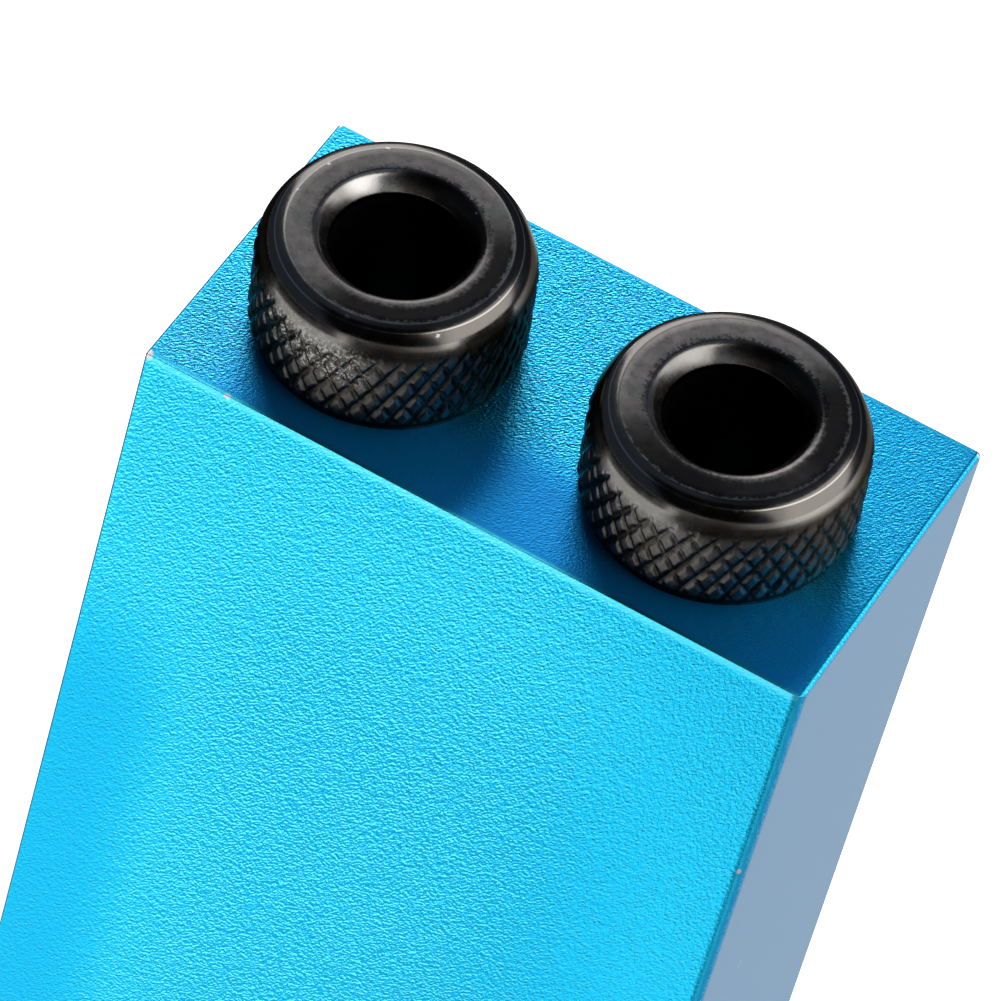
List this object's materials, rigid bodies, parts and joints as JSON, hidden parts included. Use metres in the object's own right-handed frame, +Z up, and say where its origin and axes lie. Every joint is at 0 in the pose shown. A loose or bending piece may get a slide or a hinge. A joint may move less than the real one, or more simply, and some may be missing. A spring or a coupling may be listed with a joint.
{
  "type": "angle drilling guide",
  "caption": "Handheld block with a sloped top and slip-in knurled drill sleeves that guide a drill down and back through its working face at a fixed angle.",
  "frame": {"origin": "middle of the bottom face of the block", "axes": "+Z up from the bottom face to the sloped top, +Y out of the working face at the back, +X across the width to the right seen from the front"},
  "size_m": [0.054, 0.026, 0.0889],
  "materials": {
    "anodised_block": "bead-blasted and anodised blue",
    "blackened_steel": "black oxide, satin"
  },
  "bodies": {
    "block": {"guide_block": "anodised_block"},
    "left_sleeve": {"left_sleeve": "blackened_steel"},
    "right_sleeve": {"right_sleeve": "blackened_steel"}
  },
  "joints": [
    {"name": "left_sleeve_slide", "type": "slide", "parent": "block", "child": "left_sleeve", "axis": [0, -0.2588, 0.9659], "range_m": [0, 0.024]},
    {"name": "right_sleeve_slide", "type": "slide", "parent": "block", "child": "right_sleeve", "axis": [0, -0.2588, 0.9659], "range_m": [0, 0.024]}
  ]
}
